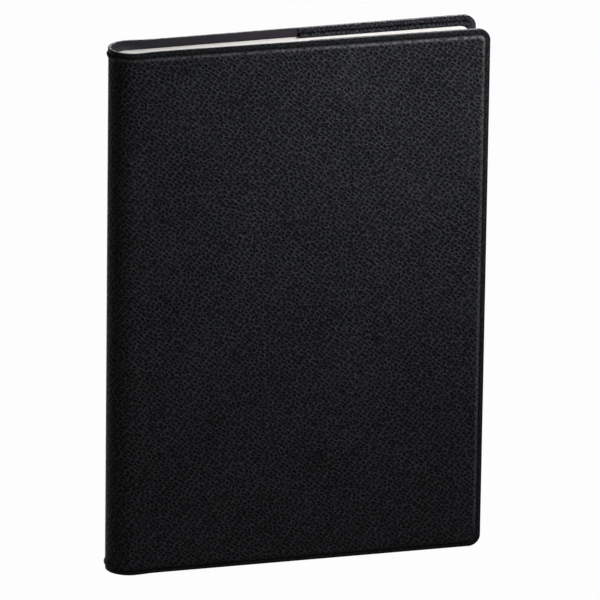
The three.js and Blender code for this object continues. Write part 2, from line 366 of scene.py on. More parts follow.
def wrinkle_cuts(tree, tilted):
    """1 beside the wrinkles, WRINKLE_LEAVES in the middle of one."""
    scale = (1 / WRINKLE_LENGTH, 1 / WRINKLE_WIDTH, 1)
    stretched = add_node(tree, "ShaderNodeMapping", {"Vector": tilted, "Scale": scale})
    folds = add_node(
        tree,
        "ShaderNodeTexNoise",
        {"Vector": stretched, "Scale": 1.0, "Detail": 1.0},
        noise_dimensions="2D",
    )
    off_line = add_node(tree, "ShaderNodeMath", {0: folds.outputs[0], 1: 0.5}, operation="SUBTRACT")
    away = add_node(tree, "ShaderNodeMath", {0: off_line}, operation="ABSOLUTE")
    return add_node(
        tree,
        "ShaderNodeMapRange",
        {0: away, 1: 0.0, 2: WRINKLE_BAND, 3: WRINKLE_LEAVES, 4: 1.0},
        interpolation_type="SMOOTHSTEP",
    )


def highlight_streaks(tree, lay, tilted):
    """Up to STREAK_SHARE in a painted highlight streak, 0 off it and outside the patches."""
    scale = (1 / STREAK_LENGTH, 1 / STREAK_WIDTH, 1)
    drawn = add_node(tree, "ShaderNodeMapping", {"Vector": tilted, "Scale": scale})
    ripple = add_node(
        tree,
        "ShaderNodeTexNoise",
        {"Vector": drawn, "Scale": 1.0, "Detail": 0.0},
        noise_dimensions="2D",
    )
    streak = add_node(
        tree,
        "ShaderNodeMapRange",
        {0: ripple.outputs[0], 1: STREAK_FROM, 2: STREAK_FULL, 3: 0.0, 4: 1.0},
        interpolation_type="SMOOTHSTEP",
    )
    region = add_node(
        tree, "ShaderNodeTexNoise", {"Vector": lay, "Scale": 1 / STREAK_REGION, "Detail": 1.0}
    )
    where = add_node(
        tree,
        "ShaderNodeMapRange",
        {0: region.outputs[0], 1: STREAK_REGION_FROM, 2: STREAK_REGION_FULL, 3: 0.0, 4: STREAK_SHARE},
    )
    return add_node(tree, "ShaderNodeMath", {0: streak, 1: where}, operation="MULTIPLY")


def broken_crests(tree, lay, crest, wrinkles):
    """The crests, weaker in places and gone in the wrinkles."""
    uneven = add_node(
        tree, "ShaderNodeTexNoise", {"Vector": lay, "Scale": 1 / CREST_BREAKS, "Detail": 1.0}
    )
    unbroken = add_node(
        tree,
        "ShaderNodeMapRange",
        {0: uneven.outputs[0], 1: BREAK_FROM, 2: BREAK_TO, 3: CREST_LEAST, 4: 1.0},
    )
    lasting = add_node(tree, "ShaderNodeMath", {0: crest, 1: unbroken}, operation="MULTIPLY")
    return add_node(tree, "ShaderNodeMath", {0: lasting, 1: wrinkles}, operation="MULTIPLY")


print("wrinkles:", round(WRINKLE_LENGTH / MM), "mm long, streaks:", STREAK_LENGTH / MM, "mm")

# %% [markdown]
# ## Weld, painted highlight and painted crease shade
# Three marks depend on the place on the piece, so they are painted on its points later and only
# read here. In the welded border the grain is pressed nearly flat and takes its own tone. A
# highlight is painted along the top of the shoulder, in small uneven dabs, where the lamp would
# catch it. The crease at its foot gets hardly any light, so shade is painted into it. Broad clouds
# of slightly different tone lie over it all.

# %% Leatherette: marks
# Tone of the streaks, which are painted highlights.
STREAK_HIGHLIGHT_TONE = "4a4b50"
# The highlight painted along the shoulder, in this lighter tone and broken into dabs.
SHOULDER_HIGHLIGHT_TONE = "74757a"
SHOULDER_HIGHLIGHT_VARIES = 1.2 * MM
SHOULDER_HIGHLIGHT_VARIES_FROM, SHOULDER_HIGHLIGHT_VARIES_TO = 0.35, 0.65
SHOULDER_HIGHLIGHT_LEAST, SHOULDER_HIGHLIGHT_MOST = 0.1, 0.95
CREASE_SHADE = 0.3
CLOUD_SIZE = 35.7 * MM
CLOUD_FROM, CLOUD_TO = 0.3, 0.7
CLOUD_DARK, CLOUD_LIGHT = 0.95, 1.05


def shoulder_highlight_share(tree, lay):
    """The highlight painted on the shoulder, broken into small dabs."""
    shoulder_highlight = add_node(tree, "ShaderNodeAttribute", attribute_name=SHOULDER_HIGHLIGHT)
    dabs = add_node(
        tree, "ShaderNodeTexNoise", {"Vector": lay, "Scale": 1 / SHOULDER_HIGHLIGHT_VARIES, "Detail": 2.0}
    )
    dabbed = add_node(
        tree,
        "ShaderNodeMapRange",
        {0: dabs.outputs[0], 1: SHOULDER_HIGHLIGHT_VARIES_FROM, 2: SHOULDER_HIGHLIGHT_VARIES_TO, 3: SHOULDER_HIGHLIGHT_LEAST, 4: SHOULDER_HIGHLIGHT_MOST},
    )
    return add_node(
        tree, "ShaderNodeMath", {0: shoulder_highlight.outputs["Fac"], 1: dabbed}, operation="MULTIPLY"
    )


def shade_of_surface(tree, lay):
    """A factor on the colour: the clouds, and the shade painted into the crease."""
    clouds = add_node(
        tree, "ShaderNodeTexNoise", {"Vector": lay, "Scale": 1 / CLOUD_SIZE, "Detail": 3.0}
    )
    cloudy = add_node(
        tree,
        "ShaderNodeMapRange",
        {0: clouds.outputs[0], 1: CLOUD_FROM, 2: CLOUD_TO, 3: CLOUD_DARK, 4: CLOUD_LIGHT},
    )
    crease = add_node(tree, "ShaderNodeAttribute", attribute_name=CREASE)
    open_share = add_node(
        tree,
        "ShaderNodeMapRange",
        {0: crease.outputs["Fac"], 1: 0.0, 2: 1.0, 3: 1.0, 4: CREASE_SHADE},
    )
    return add_node(tree, "ShaderNodeMath", {0: cloudy, 1: open_share}, operation="MULTIPLY")


print("painted marks:", PRESS, CREASE, SHOULDER_HIGHLIGHT)

# %% [markdown]
# ## The finished leatherette
# The fields come together. Net and wrinkles make the relief, which the weld presses down, and
# the Bump node turns it into light and shade. The colour goes from the pits over the net to the
# crests: the pits are painted darker, as the shade that falls in them, and the crests lighter, as
# a painted highlight. Then come the streaks of painted gloss, the weld's own tone, and the
# highlight painted on the shoulder. The ridges are a little glossier than the pits. Plain black
# plastic reflects more than this. The skin is matted, so the specular level is very low.

# %% Leatherette
GRAIN_DEPTH = 0.3 * MM
ROUGH_PIT, ROUGH_RIDGE = 0.6, 0.38
PLASTIC_IOR = 1.5
SKIN_SPECULAR = 0.02


def make_leatherette(name, cell, pit_tone, net_tone, crest_tone, weld_tone, weld_grain):
    """The leatherette. weld_grain is how much of the grain is left in the welded border."""
    material, tree, shader = start_material(name)
    lay = add_node(tree, "ShaderNodeUVMap", uv_map=LAY)
    press = add_node(tree, "ShaderNodeAttribute", attribute_name=PRESS)
    tilted = grain_lines(tree, lay)
    cell_scale = (1 / (cell * GRAIN_STRETCH), GRAIN_STRETCH / cell, 1)
    cells = add_node(tree, "ShaderNodeMapping", {"Vector": tilted, "Scale": cell_scale})
    net = pit_net(tree, lay, cells)
    wrinkles = wrinkle_cuts(tree, tilted)
    relief = add_node(tree, "ShaderNodeMath", {0: net, 1: wrinkles}, operation="MULTIPLY")

    pressed = add_node(
        tree,
        "ShaderNodeMapRange",
        {0: press.outputs["Fac"], 1: 0.0, 2: 1.0, 3: 1.0, 4: weld_grain},
    )
    height = add_node(tree, "ShaderNodeMath", {0: relief, 1: pressed}, operation="MULTIPLY")
    bump = add_node(
        tree, "ShaderNodeBump", {"Height": height, "Distance": GRAIN_DEPTH, "Strength": 1.0}
    )

    welded = add_node(
        tree,
        "ShaderNodeMapRange",
        {0: press.outputs["Fac"], 1: 0.0, 2: 1.0, 3: 0.0, 4: 1 - weld_grain},
    )
    crests = broken_crests(tree, lay, crest_lines(tree, cells), wrinkles)
    # The pit tone is painted shade in the pits; crests and streaks are painted highlights; the last
    # layer is the painted shoulder highlight.
    layers = (
        (relief, net_tone),
        (crests, crest_tone),
        (highlight_streaks(tree, lay, tilted), STREAK_HIGHLIGHT_TONE),
        (welded, weld_tone),
        (shoulder_highlight_share(tree, lay), SHOULDER_HIGHLIGHT_TONE),
    )
    tone = linear(pit_tone)
    for share, laid_over in layers:
        mixed = add_node(
            tree, "ShaderNodeMix", {0: share, 6: tone, 7: linear(laid_over)}, data_type="RGBA"
        )
        tone = mixed.outputs[2]
    colour = add_node(
        tree,
        "ShaderNodeVectorMath",
        {0: tone, "Scale": shade_of_surface(tree, lay)},
        operation="SCALE",
    )
    rough = add_node(
        tree, "ShaderNodeMapRange", {0: relief, 1: 0.0, 2: 1.0, 3: ROUGH_PIT, 4: ROUGH_RIDGE}
    )
    join(tree, colour, shader, "Base Color")
    join(tree, rough, shader, "Roughness")
    join(tree, bump, shader, "Normal")
    shader.inputs["IOR"].default_value = PLASTIC_IOR
    shader.inputs["Specular IOR Level"].default_value = SKIN_SPECULAR
    return material


# The dark pit tone is painted shade and the light crest tone a painted highlight.
LEATHERETTE = make_leatherette(
    "embossed black leatherette",
    GRAIN_CELL,
    pit_tone="131314",
    net_tone="222325",
    crest_tone="525358",
    weld_tone="1d1e1f",
    weld_grain=0.45,
)
POCKET_LEATHERETTE = make_leatherette(
    "pocket leatherette",
    POCKET_CELL,
    pit_tone="0e0e10",
    net_tone="2a2b30",
    crest_tone="505157",
    weld_tone="39373d",
    weld_grain=0.1,
)
print("made", LEATHERETTE.name, "and", POCKET_LEATHERETTE.name)

# %% [markdown]
# ## Lining film
# The inside of the cover is a thin smooth plastic film, dark grey with a touch of violet. It is
# calendered between plain rollers, which leaves a faint satin texture finer than a tenth of a
# millimetre. It is drawn a little coarser here, so that it still shows.

# %% Lining
FILM_TEXTURE = 0.6 * MM
FILM_DEPTH = 0.02 * MM
FILM_BUMP = 0.6
FILM_CLOUD = 28.6 * MM
FILM_TONES = ("29272c", "35333a")
FILM_ROUGH_FROM, FILM_ROUGH_TO = 0.3, 0.7
FILM_ROUGH_LEAST, FILM_ROUGH_MOST = 0.42, 0.56
FILM_SPECULAR = 0.15


def make_lining():
    """The film: two near tones in soft clouds, and a satin texture in gloss and bump."""
    material, tree, shader = start_material("calendered lining film")
    lay = add_node(tree, "ShaderNodeUVMap", uv_map=LAY)
    fine = add_node(
        tree, "ShaderNodeTexNoise", {"Vector": lay, "Scale": 1 / FILM_TEXTURE, "Detail": 2.0}
    )
    cloudy = add_node(
        tree, "ShaderNodeTexNoise", {"Vector": lay, "Scale": 1 / FILM_CLOUD, "Detail": 2.0}
    )
    colour = add_node(
        tree,
        "ShaderNodeMix",
        {0: cloudy.outputs[0], 6: linear(FILM_TONES[0]), 7: linear(FILM_TONES[1])},
        data_type="RGBA",
    )
    rough = add_node(
        tree,
        "ShaderNodeMapRange",
        {
            0: fine.outputs[0],
            1: FILM_ROUGH_FROM,
            2: FILM_ROUGH_TO,
            3: FILM_ROUGH_LEAST,
            4: FILM_ROUGH_MOST,
        },
    )
    bump = add_node(
        tree,
        "ShaderNodeBump",
        {"Height": fine.outputs[0], "Distance": FILM_DEPTH, "Strength": FILM_BUMP},
    )
    join(tree, colour.outputs[2], shader, "Base Color")
    join(tree, rough, shader, "Roughness")
    join(tree, bump, shader, "Normal")
    shader.inputs["Specular IOR Level"].default_value = FILM_SPECULAR
    return material


LINING = make_lining()
print("made", LINING.name)

# %% [markdown]
# ## Paper
# The leaves are uncoated wood-free paper, warm white, with pale grey rules that were printed
# before the sheets were folded. A rule is the low part of the height modulo the pitch, and it
# shows only inside the margins. From above, the cut edges of the leaves show as faint streaks,
# because no two leaves catch the same light. So each leaf has its own number as an attribute,
# and a noise over that number gives each leaf its own tone, with soft clouds along the leaf.

# %% Paper
RULE_PITCH = 7.0 * MM
RULE_WIDTH = 0.16 * MM
RULE_LOWEST = 16.0 * MM
RULE_HIGHEST = 190.0 * MM
RULE_MARGIN = 9.0 * MM
RULE_END = 135.0 * MM
PAPER_TONES = ("dad7d4", "f4f1ef")
RULE_TONE = "a9adb8"
LEAF = "leaf"
LEAF_CONTRAST = 0.35
LEAF_CLOUD = 70 * MM
FIBRE_SIZE = 0.4 * MM
FIBRE_DEPTH = 0.01 * MM
FIBRE_BUMP = 0.5
PAPER_ROUGH, PAPER_SPECULAR = 0.9, 0.25


def printed_rules(tree, flat):
    """1 on a rule, 0 off it. flat is the separated layout."""
    row = add_node(tree, "ShaderNodeMath", {0: flat.outputs[1], 1: RULE_PITCH}, operation="MODULO")
    ruled = add_node(tree, "ShaderNodeMath", {0: row, 1: RULE_WIDTH}, operation="LESS_THAN")
    reach = add_node(tree, "ShaderNodeMath", {0: flat.outputs[0]}, operation="ABSOLUTE")
    limits = (
        (flat.outputs[1], RULE_LOWEST, "GREATER_THAN"),
        (flat.outputs[1], RULE_HIGHEST, "LESS_THAN"),
        (reach.outputs[0], RULE_MARGIN, "GREATER_THAN"),
        (reach.outputs[0], RULE_END, "LESS_THAN"),
    )
    for source, bound, test in limits:
        inside = add_node(tree, "ShaderNodeMath", {0: source, 1: bound}, operation=test)
        ruled = add_node(tree, "ShaderNodeMath", {0: ruled, 1: inside}, operation="MULTIPLY")
    return ruled


def leaf_clouds(tree, flat):
    """A soft value that differs from leaf to leaf and changes slowly along each leaf."""
    leaf = add_node(tree, "ShaderNodeAttribute", attribute_name=LEAF)
    apart = add_node(
        tree, "ShaderNodeMath", {0: leaf.outputs["Fac"], 1: LEAF_CONTRAST}, operation="MULTIPLY"
    )
    along = add_node(
        tree, "ShaderNodeMath", {0: flat.outputs[0], 1: 1 / LEAF_CLOUD}, operation="MULTIPLY"
    )
    spot = add_node(tree, "ShaderNodeCombineXYZ", {0: along, 1: apart})
    clouds = add_node(tree, "ShaderNodeTexNoise", {"Vector": spot, "Scale": 1.0, "Detail": 1.0})
    return clouds.outputs[0]


def make_paper():
    """The paper: a warm white that differs between leaves, printed rules and a fibre bump."""
    material, tree, shader = start_material("uncoated wood-free paper")
    lay = add_node(tree, "ShaderNodeUVMap", uv_map=LAY)
    flat = add_node(tree, "ShaderNodeSeparateXYZ", {0: lay})
    blank = add_node(
        tree,
        "ShaderNodeMix",
        {0: leaf_clouds(tree, flat), 6: linear(PAPER_TONES[0]), 7: linear(PAPER_TONES[1])},
        data_type="RGBA",
    )
    inked = add_node(
        tree,
        "ShaderNodeMix",
        {0: printed_rules(tree, flat), 6: blank.outputs[2], 7: linear(RULE_TONE)},
        data_type="RGBA",
    )
    fibre = add_node(
        tree, "ShaderNodeTexNoise", {"Vector": lay, "Scale": 1 / FIBRE_SIZE, "Detail": 3.0}
    )
    bump = add_node(
        tree,
        "ShaderNodeBump",
        {"Height": fibre.outputs[0], "Distance": FIBRE_DEPTH, "Strength": FIBRE_BUMP},
    )
    join(tree, inked.outputs[2], shader, "Base Color")
    join(tree, bump, shader, "Normal")
    shader.inputs["Roughness"].default_value = PAPER_ROUGH
    shader.inputs["Specular IOR Level"].default_value = PAPER_SPECULAR
    return material


PAPER = make_paper()
print("made", PAPER.name)

# %% [markdown]
# ## Card, foam, glue and staple wire
# These four are plain materials that hardly show, so they share one simple make-up: two near
# tones in soft clouds, and a fine bump of the right size. The card is a white folding board with
# a faint fibre cloud, the foam is open-celled, the glue is a clear film over an open gauze, and
# the wire is galvanised steel. Only the wire is a metal.

# %% Card, foam, glue and staple wire
PLAIN_BUMP = 0.7


def make_clouded(name, tones, cloud_size, grain_size, depth, roughness, metallic=0.0):
    """A plain finish: two tones in soft clouds, and a fine bump."""
    material, tree, shader = start_material(name)
    spot = add_node(tree, "ShaderNodeTexCoord").outputs["Object"]
    cloud = add_node(
        tree, "ShaderNodeTexNoise", {"Vector": spot, "Scale": 1 / cloud_size, "Detail": 3.0}
    )
    colour = add_node(
        tree,
        "ShaderNodeMix",
        {0: cloud.outputs[0], 6: linear(tones[0]), 7: linear(tones[1])},
        data_type="RGBA",
    )
    grain = add_node(
        tree, "ShaderNodeTexNoise", {"Vector": spot, "Scale": 1 / grain_size, "Detail": 2.0}
    )
    bump = add_node(
        tree,
        "ShaderNodeBump",
        {"Height": grain.outputs[0], "Distance": depth, "Strength": PLAIN_BUMP},
    )
    join(tree, colour.outputs[2], shader, "Base Color")
    join(tree, bump, shader, "Normal")
    shader.inputs["Roughness"].default_value = roughness
    shader.inputs["Metallic"].default_value = metallic
    return material


CARD = make_clouded(
    "white folding board",
    ("dddad6", "efedea"),
    cloud_size=3 * MM,
    grain_size=0.2 * MM,
    depth=0.01 * MM,
    roughness=0.8,
)
FOAM = make_clouded(
    "open-cell foam",
    ("77777a", "94948f"),
    cloud_size=5 * MM,
    grain_size=0.5 * MM,
    depth=0.2 * MM,
    roughness=0.95,
)
GLUE = make_clouded(
    "glue over book gauze",
    ("c9bf9f", "ddd4b8"),
    cloud_size=2 * MM,
    grain_size=0.8 * MM,
    depth=0.05 * MM,
    roughness=0.5,
)
WIRE = make_clouded(
    "galvanised staple wire",
    ("9b9da0", "b4b6b9"),
    cloud_size=1 * MM,
    grain_size=0.1 * MM,
    depth=0.005 * MM,
    roughness=0.3,
    metallic=1.0,
)
print("made", CARD.name, FOAM.name, GLUE.name, WIRE.name, sep=", ")

# %% [markdown]
# ## One closed sheet from two faces
# Leather, film, foam and card are all thin sheets with two faces that keep their distance. The
# function takes a grid of points for each face, joins them along their borders into one closed
# shell, and keeps the flat layout as the UV map. It recalculates the normals, because the back
# half is a mirror image of the front half.

# %% Closed sheets
SHARP_ANGLE = math.radians(50)


def keep_lay(bm, vertex_lays):
    """The flat layout as the UV map."""
    layer = bm.loops.layers.uv.new(LAY)
    for face in bm.faces:
        for loop in face.loops:
            loop[layer].uv = vertex_lays[loop.vert.index]


def closed_sheet(name, outer, inner, lays, material, marks=None):
    """A shell between two grids of points. lays and the marks hold a value for each point."""
    bm = bmesh.new()
    rows, columns = len(outer), len(outer[0])
    faces = [[[bm.verts.new(p) for p in row] for row in grid] for grid in (outer, inner)]
    bm.verts.index_update()
    for grid in faces:
        for i in range(rows - 1):
            for j in range(columns - 1):
                bm.faces.new((grid[i][j], grid[i][j + 1], grid[i + 1][j + 1], grid[i + 1][j]))
    border = [(0, j) for j in range(columns)]
    border += [(i, columns - 1) for i in range(1, rows)]
    border += [(rows - 1, j) for j in range(columns - 2, -1, -1)]
    border += [(i, 0) for i in range(rows - 2, 0, -1)]
    for (i, j), (next_i, next_j) in zip(border, border[1:] + border[:1]):
        wall = (faces[0][i][j], faces[0][next_i][next_j], faces[1][next_i][next_j], faces[1][i][j])
        bm.faces.new(wall)
    bmesh.ops.recalc_face_normals(bm, faces=bm.faces)
    flat = [lay for row in lays for lay in row] * 2
    keep_lay(bm, flat)
    mesh = bpy.data.meshes.new(name)
    bm.to_mesh(mesh)
    bm.free()
    for mark, grid in (marks or {}).items():
        attribute = mesh.attributes.new(mark, "FLOAT", "POINT")
        attribute.data.foreach_set("value", [value for row in grid for value in row] * 2)
    return finish_piece(name, mesh, material)


def finish_piece(name, mesh, material):
    """A shown object with soft shading that stays sharp at hard edges."""
    mesh.materials.clear()
    mesh.materials.append(material)
    mesh.shade_smooth()
    mesh.set_sharp_from_angle(angle=SHARP_ANGLE)
    piece = bpy.data.objects.new(name, mesh)
    bpy.context.scene.collection.objects.link(piece)
    return piece


print("sheets keep sharp edges above", round(math.degrees(SHARP_ANGLE)), "degrees")

# %% [markdown]
# ## Where the grid lines of a layer run
# The lines lie close together near the border, where the shoulder rises out of the weld, and
# far apart in the middle. EDGE_STEPS are distances from the border, closest at the foot of the
# shoulder and at the edge's own round. Along the top and bottom the spacing is the same as at
# the fore edge, so the corner of the padding is as smooth as its sides.

# %% Grid lines
EDGE_STEPS = [0, 0.05, 0.12, 0.25, 0.5, 0.85, 1.25, 1.55, 1.75, 1.85, 1.95, 2.05, 2.2, 2.35]
EDGE_STEPS += [2.5, 2.7, 2.9, 3.15, 3.4, 3.7, 4, 4.4, 5, 5.9, 7.2, 9, 12]
PLAIN_STEPS = [0, 0.15, 0.5, 1.1, 1.9, 2.8, 3.8, 4.8, 8]
START_STEPS_END = 4
ROUND_ANGLES = [0, 0.3, 0.9, 2, 4, 6.5, 9, *range(12, 91, 3)]
FIRST_ALONG = [2, 4, 7, 11, 16]
FIELD_STEP = 4.5


def heights_of(steps, margin):
    """Heights from the lower border of a layer to its upper one."""
    height = COVER_HEIGHT - 2 * margin
    count = round((height - 2 * steps[-1]) / FIELD_STEP)
    gap = (height - 2 * steps[-1]) / count
    field = [steps[-1] + gap * k for k in range(1, count)]
    top = [height - s for s in reversed(steps)]
    return [margin + z for z in [*steps, *field, *top]]


def corner_inset(z, margin, radius):
    """How far the round corner draws the fore edge in at a height."""
    rise = min(z - margin, COVER_HEIGHT - margin - z)
    if rise >= radius:
        return 0.0
    return radius - math.sqrt(max(0.0, radius**2 - (radius - rise) ** 2))


def alongs_at(z, steps, margin, radius, start=None):
    """Distances along the board at a height, from the round (or a start) to the fore edge."""
    edge = COVER_EDGE - margin - corner_inset(z, margin, radius)
    first = FIRST_ALONG
    if start is not None:
        first = [start + s for s in steps if s < START_STEPS_END]
    last = [edge - s for s in reversed(steps)]
    count = round((COVER_EDGE - steps[-1] - first[-1]) / FIELD_STEP)
    field = [first[-1] + (last[0] - first[-1]) * k / count for k in range(1, count)]
    return [*first, *field, *last]


def border_distance(along, z, margin, radius):
    """Distance from a point of the board to the layer's rounded outline."""
    dx = COVER_EDGE - margin - along
    dz = min(z - margin, COVER_HEIGHT - margin - z)
    if dx < radius and dz < radius:
        return radius - math.hypot(radius - dx, radius - dz)
    return min(dx, dz)


print("grid of a skin:", len(heights_of(EDGE_STEPS, 0)), "rows")

# %% [markdown]
# ## The relief of the cover
# Welding presses leatherette and film together to a flat border. Inside it the foam lifts the
# skin: the foot of the shoulder is a crease, and its top is round. The board swells a little
# towards its middle. Round the spine the stiff welded border can't follow the bend of the soft
# middle, so it flares out at both ends, a little more at the top. Three marks for the material
# are worked out in the same place: where the grain is pressed, where shade is painted into the
# crease, and where a highlight is painted on the shoulder, most along the top edge.

# %% Relief
SHOULDER_FOOT = 1.95
SHOULDER_REACH = 1.6
EDGE_ROUND = 0.25
PRESS_BEFORE, PRESS_AFTER = 0.3, 0.4
CREASE_DEPTH, CREASE_HALF = 0.15, 0.4
CREASE_SHARE = 0.6
# Where the painted shoulder highlight lies, weaker at the sides and near the spine, none at the
# bottom.
SHOULDER_HIGHLIGHT_IN, SHOULDER_HIGHLIGHT_HALF = 0.95, 1.0
SHOULDER_HIGHLIGHT_SIDE, SHOULDER_HIGHLIGHT_SPINE = 0.5, 0.45
SHOULDER_HIGHLIGHT_TOP_FROM, SHOULDER_HIGHLIGHT_TOP_FULL = 12, 4
SHOULDER_HIGHLIGHT_LOW_FROM, SHOULDER_HIGHLIGHT_LOW_FULL = 4, 16
SWELL, SWELL_REACH = 0.3, 22.0
SWELL_FADE = 25
FLARE_FULL, FLARE_REACH = 2.0, 4.6
FLARE_LOW, FLARE_HIGH = 0.8, 1.0
FLARE_FADE = 9.0
RIPPLE = 0.05
RIPPLE_SIZE = 17.0
RIPPLE_SLICE = 3.7


def flare(along, z):
    """How far the border stands out round the spine."""
    reach = min(z, COVER_HEIGHT - z)
    most = FLARE_HIGH if z > COVER_HEIGHT / 2 else FLARE_LOW
    return most * (1 - smooth(FLARE_FULL, FLARE_REACH, reach)) * (1 - smooth(0, FLARE_FADE, along))


def shoulder(distance):
    """Height of the padding's side, from 0 at the weld to 1."""
    share = min(1.0, max(0.0, (distance - SHOULDER_FOOT) / SHOULDER_REACH))
    return math.sqrt(1 - (1 - share) ** 2)


def skin_level(along, z, lay, side):
    """Level of the leatherette's outer face."""
    distance = border_distance(along, z, 0, COVER_CORNER)
    rise = shoulder(distance)
    level = RIM_OUT + (SKIN_OUT - RIM_OUT) * rise
    inside = max(0.0, distance - SHOULDER_FOOT - SHOULDER_REACH)
    field = smooth(0, SWELL_FADE, along)
    level += SWELL * (1 - math.exp(-inside / SWELL_REACH)) * field
    wave = noise.noise(Vector((lay / RIPPLE_SIZE, z / RIPPLE_SIZE, RIPPLE_SLICE * side)))
    level += RIPPLE * wave * rise * field
    level -= CREASE_DEPTH * (1 - smooth(0, CREASE_HALF, abs(distance - SHOULDER_FOOT)))
    cut = max(0.0, EDGE_ROUND - distance)
    level -= EDGE_ROUND - math.sqrt(max(0.0, EDGE_ROUND**2 - cut**2))
    return level + flare(along, z)


def skin_inner_level(along, z):
    """Level of the leatherette's inner face."""
    distance = border_distance(along, z, 0, COVER_CORNER)
    return RIM_IN + (SKIN_IN - RIM_IN) * shoulder(distance) + flare(along, z)


def press_at(along, z):
    """1 in the welded border, 0 on the padding."""
    distance = border_distance(along, z, 0, COVER_CORNER)
    end = SHOULDER_FOOT + SHOULDER_REACH + PRESS_AFTER
    return 1 - smooth(SHOULDER_FOOT - PRESS_BEFORE, end, distance)


def crease_at(along, z):
    """1 in the line where the padding rises out of the weld, where shade is painted."""
    distance = border_distance(along, z, 0, COVER_CORNER)
    return CREASE_SHARE * (1 - smooth(0, 2 * CREASE_HALF, abs(distance - SHOULDER_FOOT)))


def shoulder_highlight_at(along, z):
    """How much highlight is painted on the shoulder: most at the top, none at the bottom."""
    distance = border_distance(along, z, 0, COVER_CORNER)
    band = 1 - smooth(0, SHOULDER_HIGHLIGHT_HALF, abs(distance - SHOULDER_FOOT - SHOULDER_HIGHLIGHT_IN))
    at_top = smooth(COVER_HEIGHT - SHOULDER_HIGHLIGHT_TOP_FROM, COVER_HEIGHT - SHOULDER_HIGHLIGHT_TOP_FULL, z)
    off_bottom = smooth(SHOULDER_HIGHLIGHT_LOW_FROM, SHOULDER_HIGHLIGHT_LOW_FULL, z)
    near_spine = SHOULDER_HIGHLIGHT_SPINE + (1 - SHOULDER_HIGHLIGHT_SPINE) * smooth(0, COVER_EDGE, along)
    return band * off_bottom * (SHOULDER_HIGHLIGHT_SIDE + (1 - SHOULDER_HIGHLIGHT_SIDE) * at_top) * near_spine


print("the padding rises", round(SKIN_OUT - RIM_OUT, 2), "mm over the weld")

# %% [markdown]
# ## Half a layer, from the middle of the spine to the fore edge
# Each half of a layer is one sheet, so nothing breaks at the hinge line. The marks for the
# material are painted on the points while the grid is made.

# %% Half layers
MEAN_RADIUS = 9.0
ON_ROUND = -1.0


def half_layer(name, side, outer_level, inner_level, margin, radius, steps, material, marks=None):
    """One half of a layer as a closed sheet. The levels are functions of along, height, lay.
    marks maps the name of a painted value to a function of along and height."""
    outer, inner, lays = [], [], []
    painted = {mark: [] for mark in marks or {}}
    quarter = MEAN_RADIUS * math.pi / 2
    for z in heights_of(steps, margin):
        row_outer, row_inner, row_lays = [], [], []
        for angle in ROUND_ANGLES:
            lay = MEAN_RADIUS * math.radians(angle)
            row_outer.append(place_round(side, angle, outer_level(ON_ROUND, z, lay), z))
            row_inner.append(place_round(side, angle, inner_level(ON_ROUND, z, lay), z))
            row_lays.append((side * lay * MM, z * MM))
        alongs = alongs_at(z, steps, margin, radius)
        for along in alongs:
            lay = quarter + along
            row_outer.append(place(side, along, outer_level(along, z, lay), z))
            row_inner.append(place(side, along, inner_level(along, z, lay), z))
            row_lays.append((side * lay * MM, z * MM))
        outer.append(row_outer)
        inner.append(row_inner)
        lays.append(row_lays)
        for mark, grid in painted.items():
            grid.append([marks[mark](a, z) for a in [ON_ROUND] * len(ROUND_ANGLES) + alongs])
    return closed_sheet(name, outer, inner, lays, material, painted)


def bend_with_cover(piece):
    """Bakes the piece's transform into its mesh."""
    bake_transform(piece)


def report(piece):
    """Says what was made."""
    print(piece.name, len(piece.data.polygons), "faces")


print("layout of a half:", round(MEAN_RADIUS * math.pi / 2 + COVER_EDGE, 1), "mm")

# %% [markdown]
# ## The leatherette skin
# It wraps the whole planner in one piece on the real thing. Here it is two halves that meet at
# the middle of the spine, because each half leans with its own cover.

# %% Skin
# The skin carries the pressed grain, the painted crease shade and the painted shoulder highlight.
for side in (FRONT, BACK):
    skin = half_layer(
        SIDE_NAME[side] + "_leatherette",
        side,
        lambda along, z, lay, side=side: skin_level(along, z, lay, side),
        lambda along, z, lay: skin_inner_level(along, z),
        0,
        COVER_CORNER,
        EDGE_STEPS,
        LEATHERETTE,
        {PRESS: press_at, CREASE: crease_at, SHOULDER_HIGHLIGHT: shoulder_highlight_at},
    )
    bend_with_cover(skin)
    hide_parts(SIDE_NAME[side] + "_skin", "spine_skin")
    report(skin)

# %% [markdown]
# ## Foam, lining and card
# The foam fills the skin inside the weld. The film closes it from the inside, and its border
# follows the flare of the rim. The card is the block's own cover: it lies inside the film, runs
# round the back of the block and slides behind the pockets at both ends.

# %% Foam, lining and card
def level_maker(level, follows_flare):
    """A level for the whole layer, with the rim's flare or without it."""
    if follows_flare:
        return lambda along, z, lay: level + flare(along, z)
    return lambda along, z, lay: level


# Each row: word, node, inner and outer level, margin, grid steps, material, slot, flares or not.
LAYERS = (
    ("foam", "pad", FOAM_IN, FOAM_OUT, FOAM_MARGIN, PLAIN_STEPS, FOAM, "foam", False),
    ("film", "lining", LINING_IN, LINING_OUT, 0, EDGE_STEPS, LINING, "lining", True),
    ("board", "card", CARD_IN, CARD_OUT, CARD_MARGIN, PLAIN_STEPS, CARD, "card", False),
)
PAGE_CORNER = 4.0
for side in (FRONT, BACK):
    for word, node, inn, out, margin, steps, material, slot, flares in LAYERS:
        radius = PAGE_CORNER if node == "card" else COVER_CORNER
        layer = half_layer(
            SIDE_NAME[side] + "_" + word,
            side,
            level_maker(out, flares),
            level_maker(inn, flares),
            margin,
            radius,
            steps,
            material,
        )
        bend_with_cover(layer)
        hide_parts(SIDE_NAME[side] + "_" + node, "spine_" + node)
        report(layer)

